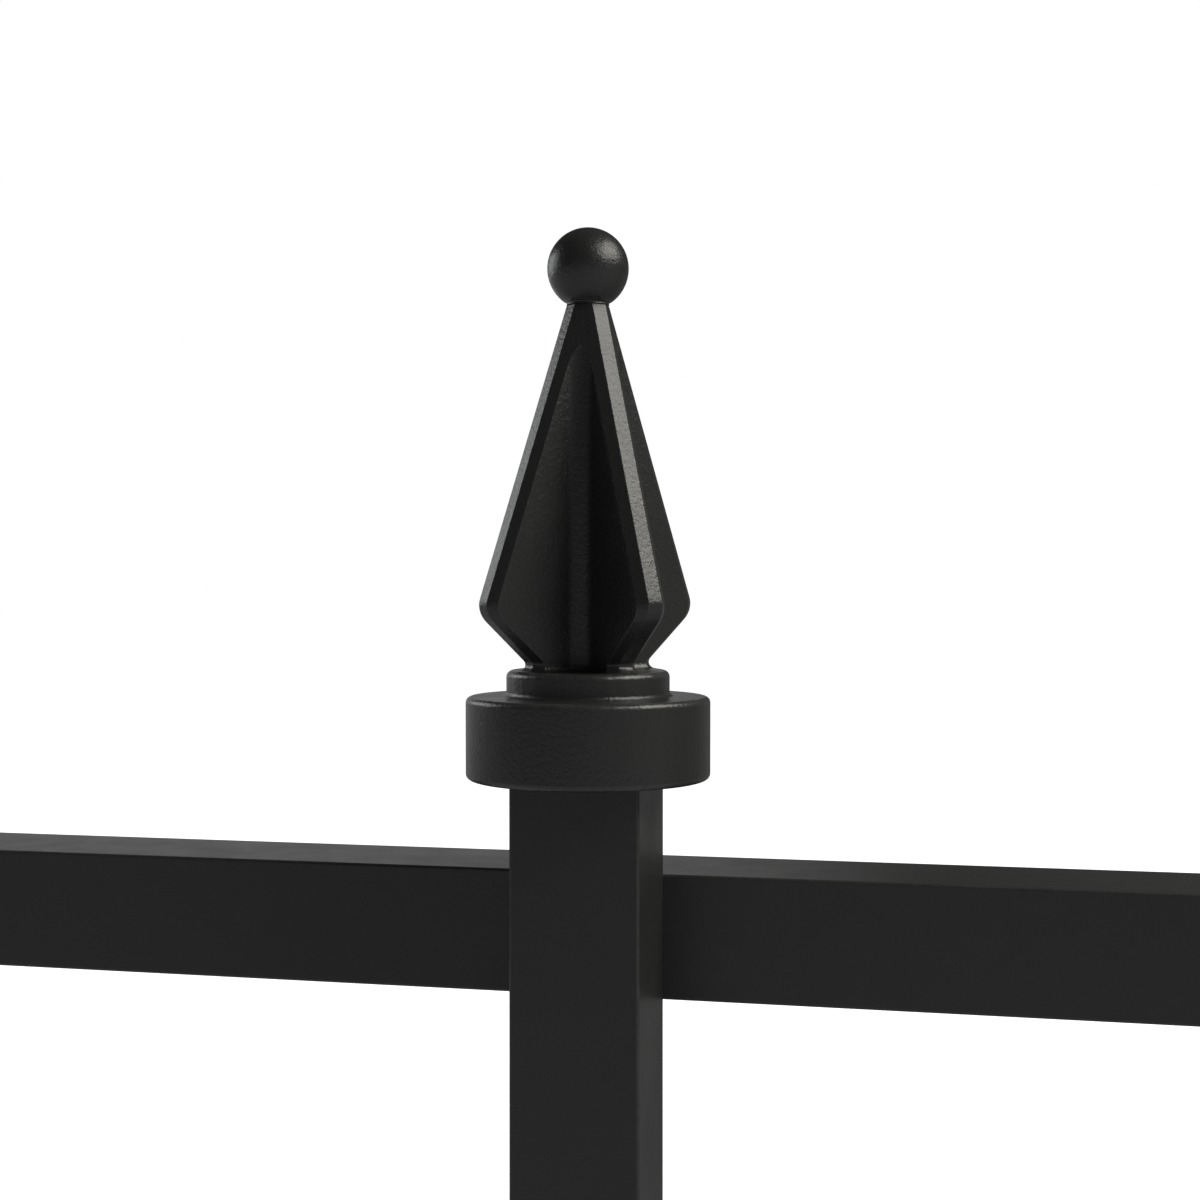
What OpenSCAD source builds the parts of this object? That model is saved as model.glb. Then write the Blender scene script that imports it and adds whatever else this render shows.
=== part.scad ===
// Garden obelisk finial on a square tube post, with the cross rail that passes behind the post.
// Origin: centre of the post's foot. +Z up the post, +X along the rail, the rail lies on the +Y side.

/* [Square tube] */
// Outside width of the post and rail tube
tube_side = 25.4; // [24:0.1:28]
// Wall thickness of the tube
tube_wall = 1.6; // [1.2:0.1:2]
// Outside corner radius of the tube
tube_corner_r = 0.6; // [0.5:0.1:1.2]

/* [Post] */
// Length of the post tube
post_len = 127; // [110:1:400]
// Thickness of the flange on a threaded tube insert
insert_flange = 3; // [2:0.5:4]
// Depth of a threaded tube insert inside its tube
insert_depth = 22; // [20:1:26]
// Depth of the threaded bush in a tube insert
bush_len = 15; // [12:1:18]
// Outside diameter of the threaded bush
bush_d = 12; // [11:0.5:14]

/* [Rail] */
// Length of the rail tube
rail_len = 316; // [120:2:600]
// Distance from the underside of the collar down to the middle of the rail
rail_drop = 33.2; // [32:0.1:40]
// Thickness of an end cap's visible flange
cap_flange = 2; // [1.5:0.5:3]
// Depth of an end cap inside the rail
cap_depth = 12; // [10:1:20]

/* [Collar] */
// Outside diameter of the round collar
collar_d = 47.9; // [46:0.1:54]
// Height of the collar
collar_h = 16.2; // [15:0.1:18]
// Rounding of the collar's upper and lower edges
collar_edge_r = 1.2; // [0.6:0.1:1.5]
// Clearance between the tube and each side of the collar's socket
socket_gap = 0.15; // [0.1:0.05:0.3]
// Depth of the collar's square socket
socket_depth = 12; // [10:0.5:12]

/* [Spire] */
// Diameter of the round plinth under the spire
plinth_d = 32; // [31:0.1:34]
// Height of the plinth
plinth_h = 5.1; // [4.5:0.1:7]
// Rounding of the plinth's upper edge
plinth_edge_r = 1.3; // [0.6:0.1:1.5]
// Hollow rounding where the plinth meets the collar
plinth_cove_r = 1; // [0.5:0.1:1.2]
// Height from the plinth to the widest point of the spire
elbow_h = 11.65; // [10:0.05:14]
// Height from the plinth to the flat top of the spire
spire_h = 71.2; // [60:0.1:90]
// Distance from the axis to a face at the plinth, before the hollow rounding
foot_half = 9.19; // [8:0.01:9.8]
// Distance from the axis to a face at the widest point, before rounding
elbow_half = 18.15; // [17:0.01:18.5]
// Distance from the axis to a face at the flat top
top_half = 3.86; // [3.7:0.01:4.2]
// Rounding of the faces over the widest point
elbow_r = 5.4; // [3:0.1:6]
// Hollow rounding of the faces onto the plinth
foot_cove_r = 1.3; // [1:0.1:1.7]
// Width of the flat that is cut along each corner
corner_flat = 3.08; // [2.4:0.01:3.6]
// Thickness of each of the four fins that stand on the diagonals
fin_t = 6.25; // [5.5:0.01:7]
// Radius of the round bottom of the groove between two fins
groove_r = 3.6; // [2:0.1:5]

/* [Ball] */
// Diameter of the ball on the top
ball_d = 15.94; // [14:0.01:18]
// Height from the flat top of the spire to the middle of the ball
ball_rise = 7.17; // [6:0.01:8]
// Radius of the ball's neck where it sits on the spire
neck_r = 4.2; // [3.6:0.05:4.5]

/* [Fasteners] */
// Pitch radius of the M8 thread in the tube inserts and the spire
m8_r = 3.6; // [3.5:0.05:3.7]
// Length of the stud that joins the spire to the post
stud_len = 38; // [34:1:40]
// Pitch radius of the M5 thread
m5_r = 2.24; // [2.2:0.01:2.3]
// Pitch radius of the M4 thread in the ball
m4_r = 1.78; // [1.7:0.01:1.85]
// Distance between the two rail screws
screw_pitch = 12.7; // [12:0.1:13]
// Length of a rail screw under its head
screw_len = 35; // [34:1:37]

/* [Hidden] */
$fn = 64;
over = 1;

half_tube = tube_side / 2;
tube_bore = tube_side - 2 * tube_wall;
post_top_z = insert_flange + post_len;
insert_top_z = post_top_z + insert_flange;
collar_z = insert_top_z - socket_depth;
plinth_z = collar_z + collar_h;
spire_z = plinth_z + plinth_h;
spire_top_z = spire_z + spire_h;
ball_z = spire_top_z + ball_rise;

rail_y = tube_side;
rail_z = collar_z - rail_drop;
rail_back_y = rail_y + half_tube;

// Rail fasteners, from the screw heads behind the rail to the nuts in the post's rear wall
washer_d = 10;
washer_t = 1;
screw_head_d = 9.5;
screw_head_h = 2.75;
screw_shank_r = 2.5;
screw_hole_r = 2.75;
sleeve_r = 4;
sleeve_hole_r = 2.8;
nut_flange_r = 4.7;
nut_flange_t = 1;
nut_body_r = 3.5;
nut_body_len = 11;
nut_bulge_r = 4.6;
nut_bulge_len = 2.4;
rail_front_hole_r = 5.2;
head_seat_y = rail_back_y + washer_t;

// Set screws in the collar
set_screw_z = collar_z + 7;
set_screw_len = 6;

// Studs in the finial
stud_clear_r = 4.3;
stud_end_gap = 1;
stud_z = insert_top_z - bush_len + stud_end_gap;
ball_stud_len = 13;
ball_stud_z = spire_top_z - 6.5;

insert_body = tube_bore - 1.6;
insert_fins = 4;
insert_fin_t = 1.4;

// ---- Outline of the spire: height and distance from the axis to a face ----
elbow_up = (elbow_half - top_half) / (spire_h - elbow_h);
elbow_down = (elbow_half - foot_half) / elbow_h;
up_angle = atan(elbow_up);
down_angle = atan(elbow_down);
elbow_lift = elbow_r * (1 / cos(down_angle) - 1 / cos(up_angle)) / (elbow_up + elbow_down);
elbow_centre = [elbow_h + elbow_lift, elbow_half - elbow_up * elbow_lift - elbow_r / cos(up_angle)];
cove_centre = [foot_cove_r, foot_half + elbow_down * foot_cove_r + foot_cove_r / cos(down_angle)];

// The points run up the outline as [height, distance]
function cove_points(n) = [for (i = [0:n]) let (a = 90 - i / n * (90 + down_angle))
    [cove_centre[0] - foot_cove_r * sin(a), cove_centre[1] - foot_cove_r * cos(a)]];
function elbow_points(n) = [for (i = [0:n]) let (a = -down_angle + i / n * (down_angle + up_angle))
    [elbow_centre[0] + elbow_r * sin(a), elbow_centre[1] + elbow_r * cos(a)]];

cove = cove_points(6);
elbow = elbow_points(6);
top_point = [spire_h, top_half];
outline = concat(cove, elbow, [top_point]);

// ---- Spire: a square obelisk with flat corners, cut down to four fins by a groove in each face ----
corner_cut = corner_flat / sqrt(2);
function turned(p, a) = [p[0] * cos(a) - p[1] * sin(a), p[0] * sin(a) + p[1] * cos(a)];
function level_points(h) = [for (a = [0:90:270]) for (x = [corner_cut - h, h - corner_cut]) turned([x, -h], a)];

module obelisk() {
    count = len(level_points(1));
    levels = len(outline);
    rings = [for (o = outline) for (p = level_points(o[1])) [p[0], p[1], o[0]]];
    foot_centre = count * levels;
    top_centre = foot_centre + 1;
    sides = [for (k = [0:levels - 2]) for (i = [0:count - 1])
        let (a = k * count + i, b = k * count + (i + 1) % count)
        for (t = [[a, b + count, b], [a, a + count, b + count]]) t];
    bottom = [for (i = [0:count - 1]) [foot_centre, i, (i + 1) % count]];
    top = [for (i = [0:count - 1]) let (ring = (levels - 1) * count)
        [top_centre, ring + (i + 1) % count, ring + i]];
    polyhedron(concat(rings, [[0, 0, 0], [0, 0, spire_h]]), concat(sides, bottom, top), convexity = 6);
}

groove_depth = fin_t / sqrt(2);
groove_centre = groove_depth + sqrt(2) * groove_r;
fin_reach = 1.5 * elbow_half;

// The groove in the -Y face: straight sides along the fins and a round bottom
groove_points = concat(
    [[-fin_reach, -groove_depth - fin_reach]],
    [for (a = [135:-15:45]) [groove_r * cos(a), groove_r * sin(a) - groove_centre]],
    [[fin_reach, -groove_depth - fin_reach]]);

module fins_profile() {
    polygon([for (a = [0:90:270]) for (p = groove_points) turned(p, a)]);
}

module spire_body() {
    translate([0, 0, spire_z]) intersection() {
        obelisk();
        translate([0, 0, -over]) linear_extrude(spire_h + 2 * over) fins_profile();
    }
}

// ---- Shared shapes ----
module rounded_square(side, r) {
    square([side - 2 * r, side], center = true);
    square([side, side - 2 * r], center = true);
    for (x = [-1, 1], y = [-1, 1]) translate([x, y] * (side / 2 - r)) circle(r);
}

module square_tube(length) {
    linear_extrude(length) difference() {
        rounded_square(tube_side, tube_corner_r);
        square(tube_bore, center = true);
    }
}

// A bar along -Y from the point (x, y, z)
module bar(y, z, r, length, x = 0) {
    translate([x, y, z]) rotate([90, 0, 0]) cylinder(r = r, h = length);
}

module at_rail_screws() {
    for (s = [-1, 1]) translate([0, 0, rail_z + s * screw_pitch / 2]) children();
}

// Ribbed plug with a threaded bush, flange face at z = 0 and body above it
module threaded_insert() {
    difference() {
        union() {
            linear_extrude(insert_flange) rounded_square(tube_side, tube_corner_r);
            linear_extrude(insert_flange + insert_depth) rounded_square(insert_body, 1);
            for (i = [1:insert_fins])
                translate([0, 0, insert_flange + i * insert_depth / (insert_fins + 1)])
                    linear_extrude(insert_fin_t) square(tube_bore, center = true);
        }
        translate([0, 0, -over]) cylinder(d = bush_d, h = bush_len + over);
        cylinder(r = stud_clear_r, h = insert_flange + insert_depth - 2);
    }
}

module threaded_bush() {
    difference() {
        cylinder(d = bush_d, h = bush_len);
        translate([0, 0, -over]) cylinder(r = m8_r, h = bush_len + 2 * over);
    }
}

// ---- Finial ----
module ball_tip() {
    color("#1c1c1c") difference() {
        union() {
            intersection() {
                translate([0, 0, ball_z]) sphere(d = ball_d, $fn = 96);
                translate([0, 0, spire_top_z]) cylinder(d = 2 * ball_d, h = 2 * ball_d);
            }
            translate([0, 0, spire_top_z]) cylinder(r = neck_r, h = 1);
        }
        translate([0, 0, spire_top_z - over]) cylinder(r = m4_r, h = ball_stud_len - 6.5 + 2 * over);
    }
}

module ball_stud() {
    color("silver") translate([0, 0, ball_stud_z]) cylinder(r = m4_r, h = ball_stud_len);
}

module spire() {
    color("#1a1a1a") difference() {
        union() {
            spire_body();
            translate([0, 0, plinth_z]) plinth();
        }
        translate([0, 0, plinth_z - over]) cylinder(r = m8_r, h = stud_z + stud_len - plinth_z + 2 * over);
        translate([0, 0, ball_stud_z - over]) cylinder(r = m4_r, h = spire_top_z - ball_stud_z + 2 * over);
    }
}

module plinth() {
    foot_r = plinth_d / 2 + plinth_cove_r;
    rotate_extrude() difference() {
        union() {
            square([plinth_d / 2 - plinth_edge_r, plinth_h]);
            square([plinth_d / 2, plinth_h - plinth_edge_r]);
            translate([plinth_d / 2 - plinth_edge_r, plinth_h - plinth_edge_r]) circle(plinth_edge_r);
            square([foot_r, plinth_cove_r]);
        }
        translate([foot_r, plinth_cove_r]) circle(plinth_cove_r);
    }
}

module finial_stud() {
    color("silver") translate([0, 0, stud_z]) cylinder(r = m8_r, h = stud_len);
}

module collar_profile() {
    r = collar_edge_r;
    square([collar_d / 2 - r, collar_h]);
    translate([0, r]) square([collar_d / 2, collar_h - 2 * r]);
    for (z = [r, collar_h - r]) translate([collar_d / 2 - r, z]) circle(r);
}

module post_collar() {
    socket = tube_side + 2 * socket_gap;
    color("#1e1e1e") difference() {
        translate([0, 0, collar_z]) rotate_extrude($fn = 128) intersection() {
            collar_profile();
            square([collar_d, collar_h]);
        }
        translate([-socket / 2, -socket / 2, collar_z - over]) cube([socket, socket, socket_depth + over]);
        translate([0, 0, collar_z]) cylinder(r = stud_clear_r, h = collar_h + over);
        bar(collar_d, set_screw_z, m5_r, collar_d);
        rotate([0, 0, 90]) bar(collar_d, set_screw_z, m5_r, collar_d);
    }
}

module set_screw() {
    socket_r = 1.44;
    difference() {
        bar(half_tube + set_screw_len, set_screw_z, m5_r, set_screw_len);
        translate([0, half_tube + set_screw_len + over, set_screw_z]) rotate([90, 0, 0])
            cylinder(r = socket_r, h = 2.5 + over, $fn = 6);
    }
}

module collar_set_screws() {
    color("#303030") {
        set_screw();
        rotate([0, 0, 90]) set_screw();
    }
}

// ---- Post ----
module post_tube() {
    color("#1c1c1c") difference() {
        translate([0, 0, insert_flange]) square_tube(post_len);
        at_rail_screws() bar(half_tube + over, 0, nut_body_r, tube_wall + 2 * over);
    }
}

module top_insert() {
    color("#262626") translate([0, 0, insert_top_z]) mirror([0, 0, 1]) threaded_insert();
}

module top_bush() {
    color("goldenrod") translate([0, 0, insert_top_z]) mirror([0, 0, 1]) threaded_bush();
}

module foot_insert() {
    color("#262626") threaded_insert();
}

module foot_bush() {
    color("goldenrod") threaded_bush();
}

// ---- Rail ----
module rail_tube() {
    color("#1c1c1c") difference() {
        translate([-rail_len / 2, rail_y, rail_z]) rotate([90, 0, 90]) square_tube(rail_len);
        at_rail_screws() {
            bar(rail_back_y + over, 0, screw_hole_r, tube_wall + 2 * over);
            bar(half_tube + tube_wall + over, 0, rail_front_hole_r, tube_wall + 2 * over);
        }
    }
}

// End cap whose flange lies outside the tube end, from x = 0 outwards
module rail_cap() {
    body = tube_bore - 1.6;
    wall = 2;
    rotate([90, 0, 90]) {
        linear_extrude(cap_flange) rounded_square(tube_side, tube_corner_r);
        difference() {
            translate([0, 0, -cap_depth]) union() {
                linear_extrude(cap_depth) square(body, center = true);
                for (i = [1, 2]) translate([0, 0, i * cap_depth / 3 - 1])
                    linear_extrude(insert_fin_t) square(tube_bore, center = true);
            }
            translate([0, 0, -cap_depth - over]) linear_extrude(cap_depth + over)
                square(body - 2 * wall, center = true);
        }
    }
}

module rail_cap_left() {
    color("#242424") translate([-rail_len / 2, rail_y, rail_z]) mirror([1, 0, 0]) rail_cap();
}

module rail_cap_right() {
    color("#242424") translate([rail_len / 2, rail_y, rail_z]) rail_cap();
}

// ---- Rail fasteners ----
// Button head screw: a low domed head with a hexagon socket
module rail_screw() {
    dome_r = pow(screw_head_d / 2, 2) / (2 * screw_head_h) + screw_head_h / 2;
    nut_end = half_tube - nut_body_len;
    difference() {
        intersection() {
            translate([0, head_seat_y + screw_head_h - dome_r, 0]) sphere(dome_r);
            bar(head_seat_y + screw_head_h, 0, screw_head_d / 2, screw_head_h);
        }
        translate([0, head_seat_y + screw_head_h + over, 0]) rotate([90, 0, 0])
            cylinder(r = 1.73, h = 1.8 + over, $fn = 6);
    }
    bar(head_seat_y, 0, screw_shank_r, head_seat_y - half_tube - nut_flange_t - 1);
    bar(head_seat_y, 0, m5_r, min(screw_len, head_seat_y - nut_end));
}

module rail_screws() {
    color("#2a2a2a") at_rail_screws() rail_screw();
}

module rail_washers() {
    color("#3a3a3a") at_rail_screws() difference() {
        bar(head_seat_y, 0, washer_d / 2, washer_t);
        bar(head_seat_y + over, 0, screw_hole_r, washer_t + 2 * over);
    }
}

module crush_sleeves() {
    length = tube_side - tube_wall - nut_flange_t;
    color("silver") at_rail_screws() difference() {
        bar(rail_back_y - tube_wall, 0, sleeve_r, length);
        bar(rail_back_y, 0, sleeve_hole_r, length + 2 * tube_wall);
    }
}

// Rivet nut set in the post's rear wall: flange outside, body and folded bulge inside
module rivet_nuts() {
    color("silver") at_rail_screws() difference() {
        union() {
            bar(half_tube + nut_flange_t, 0, nut_flange_r, nut_flange_t);
            bar(half_tube, 0, nut_body_r, nut_body_len);
            bar(half_tube - tube_wall, 0, nut_bulge_r, nut_bulge_len);
        }
        bar(half_tube + nut_flange_t + over, 0, m5_r, nut_body_len + nut_flange_t + 2 * over);
    }
}

ball_tip();
ball_stud();
spire();
finial_stud();
post_collar();
collar_set_screws();
post_tube();
top_insert();
top_bush();
foot_insert();
foot_bush();
rail_tube();
rail_cap_left();
rail_cap_right();
rail_screws();
rail_washers();
crush_sleeves();
rivet_nuts();
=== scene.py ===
import math

import bmesh
import bpy
from mathutils import Matrix, Vector


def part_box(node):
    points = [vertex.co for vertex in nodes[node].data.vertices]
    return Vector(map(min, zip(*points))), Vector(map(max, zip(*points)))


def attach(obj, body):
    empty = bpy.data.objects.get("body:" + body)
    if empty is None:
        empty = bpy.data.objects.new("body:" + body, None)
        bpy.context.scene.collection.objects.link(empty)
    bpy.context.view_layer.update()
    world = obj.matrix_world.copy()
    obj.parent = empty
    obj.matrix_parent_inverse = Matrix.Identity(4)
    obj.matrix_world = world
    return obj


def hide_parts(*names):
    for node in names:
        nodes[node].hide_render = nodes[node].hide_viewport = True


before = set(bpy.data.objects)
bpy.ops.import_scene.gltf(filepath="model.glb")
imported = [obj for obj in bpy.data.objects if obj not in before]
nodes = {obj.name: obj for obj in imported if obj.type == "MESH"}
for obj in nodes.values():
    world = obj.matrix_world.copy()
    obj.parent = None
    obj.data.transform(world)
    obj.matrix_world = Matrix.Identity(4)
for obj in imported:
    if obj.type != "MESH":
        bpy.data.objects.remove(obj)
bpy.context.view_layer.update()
mm = 0.001

# ---- Camera ----
# A level product view from a little right of the front, aimed at the widest part of the spire.
collar_low, collar_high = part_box("post_collar")
view_azimuth = math.radians(12.415)
view_elevation = math.radians(0.892)
view_distance = 355.6 * mm
aim = Vector((2.4 * mm, 0, collar_low.z + 35 * mm))
away = Vector((
    math.sin(view_azimuth) * math.cos(view_elevation),
    -math.cos(view_azimuth) * math.cos(view_elevation),
    math.sin(view_elevation),
))
camera_data = bpy.data.cameras.new("camera")
camera_data.lens = 54.55
camera_data.sensor_width = 36
camera = bpy.data.objects.new("camera", camera_data)
camera.location = aim + away * view_distance
camera.rotation_euler = (-away).to_track_quat("-Z", "Y").to_euler()
bpy.context.scene.collection.objects.link(camera)
bpy.context.scene.camera = camera
bpy.context.scene.view_settings.view_transform = "Standard"

# ---- Studio ----
# A white floor and white surround, with a soft box high on the right, a second one on the left a little
# behind, and two faint cards behind. The room is dark above, so the black coating shows by its highlights.
floor_half = 6.0
floor_mesh = bpy.data.meshes.new("floor")
floor_mesh.from_pydata(
    [(x * floor_half, y * floor_half, 0) for x, y in ((-1, -1), (1, -1), (1, 1), (-1, 1))],
    [], [(0, 1, 2, 3)])
floor = bpy.data.objects.new("floor", floor_mesh)
bpy.context.scene.collection.objects.link(floor)
floor.visible_glossy = False
floor.visible_diffuse = False
floor_paint = bpy.data.materials.new("studio_floor")
floor_paint.use_nodes = True
floor_shader = floor_paint.node_tree.nodes["Principled BSDF"]
floor_shader.inputs["Base Color"].default_value = (0.8, 0.8, 0.8, 1)
floor_shader.inputs["Roughness"].default_value = 0.9
floor_shader.inputs["Specular IOR Level"].default_value = 0
floor_shader.inputs["Emission Color"].default_value = (1, 1, 1, 1)
floor_where = floor_paint.node_tree.nodes.new("ShaderNodeTexCoord")
floor_distance = floor_paint.node_tree.nodes.new("ShaderNodeVectorMath")
floor_distance.operation = "LENGTH"
floor_fade = floor_paint.node_tree.nodes.new("ShaderNodeMapRange")
floor_fade.interpolation_type = "SMOOTHSTEP"
floor_fade.inputs["From Min"].default_value = 0.10
floor_fade.inputs["From Max"].default_value = 0.32
floor_fade.inputs["To Min"].default_value = 0.70
floor_fade.inputs["To Max"].default_value = 1.0
floor_paint.node_tree.links.new(floor_where.outputs["Object"], floor_distance.inputs[0])
floor_paint.node_tree.links.new(floor_distance.outputs["Value"], floor_fade.inputs["Value"])
floor_paint.node_tree.links.new(floor_fade.outputs["Result"], floor_shader.inputs["Emission Strength"])
floor_mesh.materials.append(floor_paint)

world = bpy.data.worlds.new("studio")
bpy.context.scene.world = world
world.use_nodes = True
sky = world.node_tree
sky.nodes.clear()
sky_out = sky.nodes.new("ShaderNodeOutputWorld")
sky_mix = sky.nodes.new("ShaderNodeMixShader")
sky_room = sky.nodes.new("ShaderNodeBackground")
sky_backdrop = sky.nodes.new("ShaderNodeBackground")
sky_rays = sky.nodes.new("ShaderNodeLightPath")
sky_direction = sky.nodes.new("ShaderNodeTexCoord")
sky_split = sky.nodes.new("ShaderNodeSeparateXYZ")
sky_height = sky.nodes.new("ShaderNodeMapRange")
sky_ramp = sky.nodes.new("ShaderNodeValToRGB")
sky_height.inputs["From Min"].default_value = -1
sky_height.inputs["From Max"].default_value = 1
# Room brightness from straight down to straight up: pale floor, dim horizon, dark ceiling
room_levels = [(0.0, 0.40), (0.42, 0.38), (0.49, 0.22), (0.53, 0.10), (0.62, 0.05), (1.0, 0.06)]
ramp = sky_ramp.color_ramp
while len(ramp.elements) < len(room_levels):
    ramp.elements.new(0.5)
for element, (place, level) in zip(ramp.elements, room_levels):
    element.position = place
    element.color = (level, level, level, 1)
sky_backdrop.inputs["Color"].default_value = (1, 1, 1, 1)
# The room is dimmer behind on the right, where only the fainter card stands
dim_azimuth = math.radians(150)
sky_side = sky.nodes.new("ShaderNodeVectorMath")
sky_side.operation = "DOT_PRODUCT"
sky_side.inputs[1].default_value = (math.sin(dim_azimuth), -math.cos(dim_azimuth), 0)
sky_dim = sky.nodes.new("ShaderNodeMapRange")
sky_dim.interpolation_type = "SMOOTHSTEP"
sky_dim.inputs["From Min"].default_value = 0.25
sky_dim.inputs["From Max"].default_value = 0.95
sky_dim.inputs["To Min"].default_value = 1.0
sky_dim.inputs["To Max"].default_value = 0.38
sky.links.new(sky_direction.outputs["Generated"], sky_split.inputs[0])
sky.links.new(sky_split.outputs["Z"], sky_height.inputs["Value"])
sky.links.new(sky_height.outputs["Result"], sky_ramp.inputs["Fac"])
sky.links.new(sky_ramp.outputs["Color"], sky_room.inputs["Color"])
sky.links.new(sky_direction.outputs["Generated"], sky_side.inputs[0])
sky.links.new(sky_side.outputs["Value"], sky_dim.inputs["Value"])
sky.links.new(sky_dim.outputs["Result"], sky_room.inputs["Strength"])
sky.links.new(sky_rays.outputs["Is Camera Ray"], sky_mix.inputs["Fac"])
sky.links.new(sky_room.outputs[0], sky_mix.inputs[1])
sky.links.new(sky_backdrop.outputs[0], sky_mix.inputs[2])
sky.links.new(sky_mix.outputs[0], sky_out.inputs["Surface"])


def soft_box(name, azimuth, elevation, distance, width, height, radiance, tint):
    """A rectangular area light that faces the spire; azimuth 0 is the front, positive to the right."""
    turn, rise = math.radians(azimuth), math.radians(elevation)
    from_spire = Vector((math.sin(turn) * math.cos(rise), -math.cos(turn) * math.cos(rise), math.sin(rise)))
    data = bpy.data.lights.new(name, "AREA")
    data.shape = "RECTANGLE"
    data.size = width
    data.size_y = height
    data.energy = radiance * math.pi * width * height
    data.color = tint
    light = bpy.data.objects.new(name, data)
    light.location = aim + from_spire * distance
    light.rotation_euler = (-from_spire).to_track_quat("-Z", "Z").to_euler()
    light.visible_camera = False
    bpy.context.scene.collection.objects.link(light)


# Each line gives azimuth, elevation, distance, width, height, radiance and tint
soft_box("right_box", 87, 42, 0.9, 0.50, 0.80, 6.1, (1.0, 0.985, 0.93))
soft_box("left_box", -109, 17, 0.9, 0.40, 0.60, 2.3, (0.98, 0.99, 1.0))
soft_box("back_left_card", -155, 10, 1.4, 1.1, 0.5, 0.42, (1.0, 1.0, 1.0))
soft_box("back_right_card", 160, 2, 1.4, 0.9, 0.7, 0.06, (1.0, 0.99, 0.93))

# ---- Post tube ----
# Welded square steel tube with small rounded corners, cut to length and powder coated black.
# Two holes in its rear wall take the rivet nuts of the rail.
tube_corner = 0.6 * mm
tube_wall = 1.6 * mm
post_low, post_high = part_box("post_tube")
tube_side = post_high.x - post_low.x
cut_edge = 0.25 * mm


def arc(centre, radius, start, stop, steps):
    """Points on an arc, angles in degrees."""
    angles = [math.radians(start + (stop - start) * i / steps) for i in range(steps + 1)]
    return [(centre[0] + radius * math.cos(a), centre[1] + radius * math.sin(a)) for a in angles]


def square_quarter(side, corner, height):
    """One side of a rounded square, from the middle of one corner to the middle of the next."""
    half = side / 2
    flat = half - corner
    left = arc((-flat, -flat), corner, -135, -90, 4)
    right = arc((flat, -flat), corner, -90, -45, 4)
    shoulder = max(flat - 0.5 * mm, 0.5 * flat)
    middle = [(shoulder * (2 * i / 6 - 1), -half) for i in range(7)]
    return [(x, y, height) for x, y in left + middle + right]


def circle_quarter(radius, height, like):
    """A quarter circle whose points stand at the angles of another quarter's points."""
    angles = [math.atan2(y, x) for x, y, _ in like]
    return [(radius * math.cos(a), radius * math.sin(a), height) for a in angles]


def round_ring(radius, height, segments):
    """A full circle of points at one height."""
    angles = [2 * math.pi * i / segments for i in range(segments)]
    return [(radius * math.cos(a), radius * math.sin(a), height) for a in angles]


def skin(name, rings, loop=False, closed=False):
    """A mesh through rings of points. A ring of one point is a pole; closed joins each ring's ends."""
    points, starts, faces = [], [], []
    for ring in rings:
        starts.append(len(points))
        points.extend(ring)
    pairs = [(i, i + 1) for i in range(len(rings) - 1)]
    if loop:
        pairs.append((len(rings) - 1, 0))
    for a, b in pairs:
        size_a, size_b = len(rings[a]), len(rings[b])
        count = max(size_a, size_b)
        for i in range(count if closed else count - 1):
            j = (i + 1) % count
            corners = (starts[a] + i % size_a, starts[a] + j % size_a,
                       starts[b] + j % size_b, starts[b] + i % size_b)
            faces.append(list(dict.fromkeys(corners)))
    mesh = bpy.data.meshes.new(name)
    mesh.from_pydata(points, [], faces)
    piece = bpy.data.objects.new(name, mesh)
    bpy.context.scene.collection.objects.link(piece)
    return piece


def smooth(piece, sharp_over=40):
    """Merges doubles, turns every face outwards and shades smoothly over shallow edges."""
    shape = bmesh.new()
    shape.from_mesh(piece.data)
    bmesh.ops.remove_doubles(shape, verts=shape.verts, dist=0.002 * mm)
    bmesh.ops.dissolve_degenerate(shape, edges=shape.edges, dist=0.001 * mm)
    bmesh.ops.recalc_face_normals(shape, faces=shape.faces)
    shape.to_mesh(piece.data)
    shape.free()
    piece.data.shade_smooth()
    piece.data.set_sharp_from_angle(angle=math.radians(sharp_over))
    return piece


def mark_edge_wear_and_highlight(piece, shallowest=7, widest=0.35 * mm):
    """Marks the narrow faces of a coated piece's outer roundings, where handling rubs the coat and where the
    coat gets a painted highlight line.
    """
    shape = bmesh.new()
    shape.from_mesh(piece.data)
    layer = shape.loops.layers.float.new("edge_wear_and_highlight")
    edge_wear_and_highlight_level = {}
    for vert in shape.verts:
        turns = [edge.calc_face_angle_signed(0) for edge in vert.link_edges if edge.is_manifold]
        sharpest = math.degrees(max(turns, default=0))
        edge_wear_and_highlight_level[vert] = min(1, max(0, (sharpest - shallowest) / shallowest))
    for face in shape.faces:
        width = face.calc_area() / max(edge.calc_length() for edge in face.edges)
        for corner in face.loops:
            corner[layer] = edge_wear_and_highlight_level[corner.vert] if width < widest else 0
    shape.to_mesh(piece.data)
    shape.free()
    return piece


def bake_modifiers(piece):
    """Turns what the modifiers make into the piece's own plain mesh."""
    ready = piece.evaluated_get(bpy.context.evaluated_depsgraph_get())
    plain = bpy.data.meshes.new_from_object(ready)
    piece.modifiers.clear()
    piece.data = plain
    return piece


def even_normals(piece):
    """Weights the normals by face area, so that flats stay flat between their rounded edges."""
    modifier = piece.modifiers.new("even_normals", "WEIGHTED_NORMAL")
    modifier.keep_sharp = True
    modifier.weight = 90
    return bake_modifiers(piece)


def socket_ids(tree):
    """Input names of a Geometry Nodes tree, with the identifiers a modifier needs."""
    return {s.name: s.identifier for s in tree.interface.items_tree if s.in_out == "INPUT"}


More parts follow.
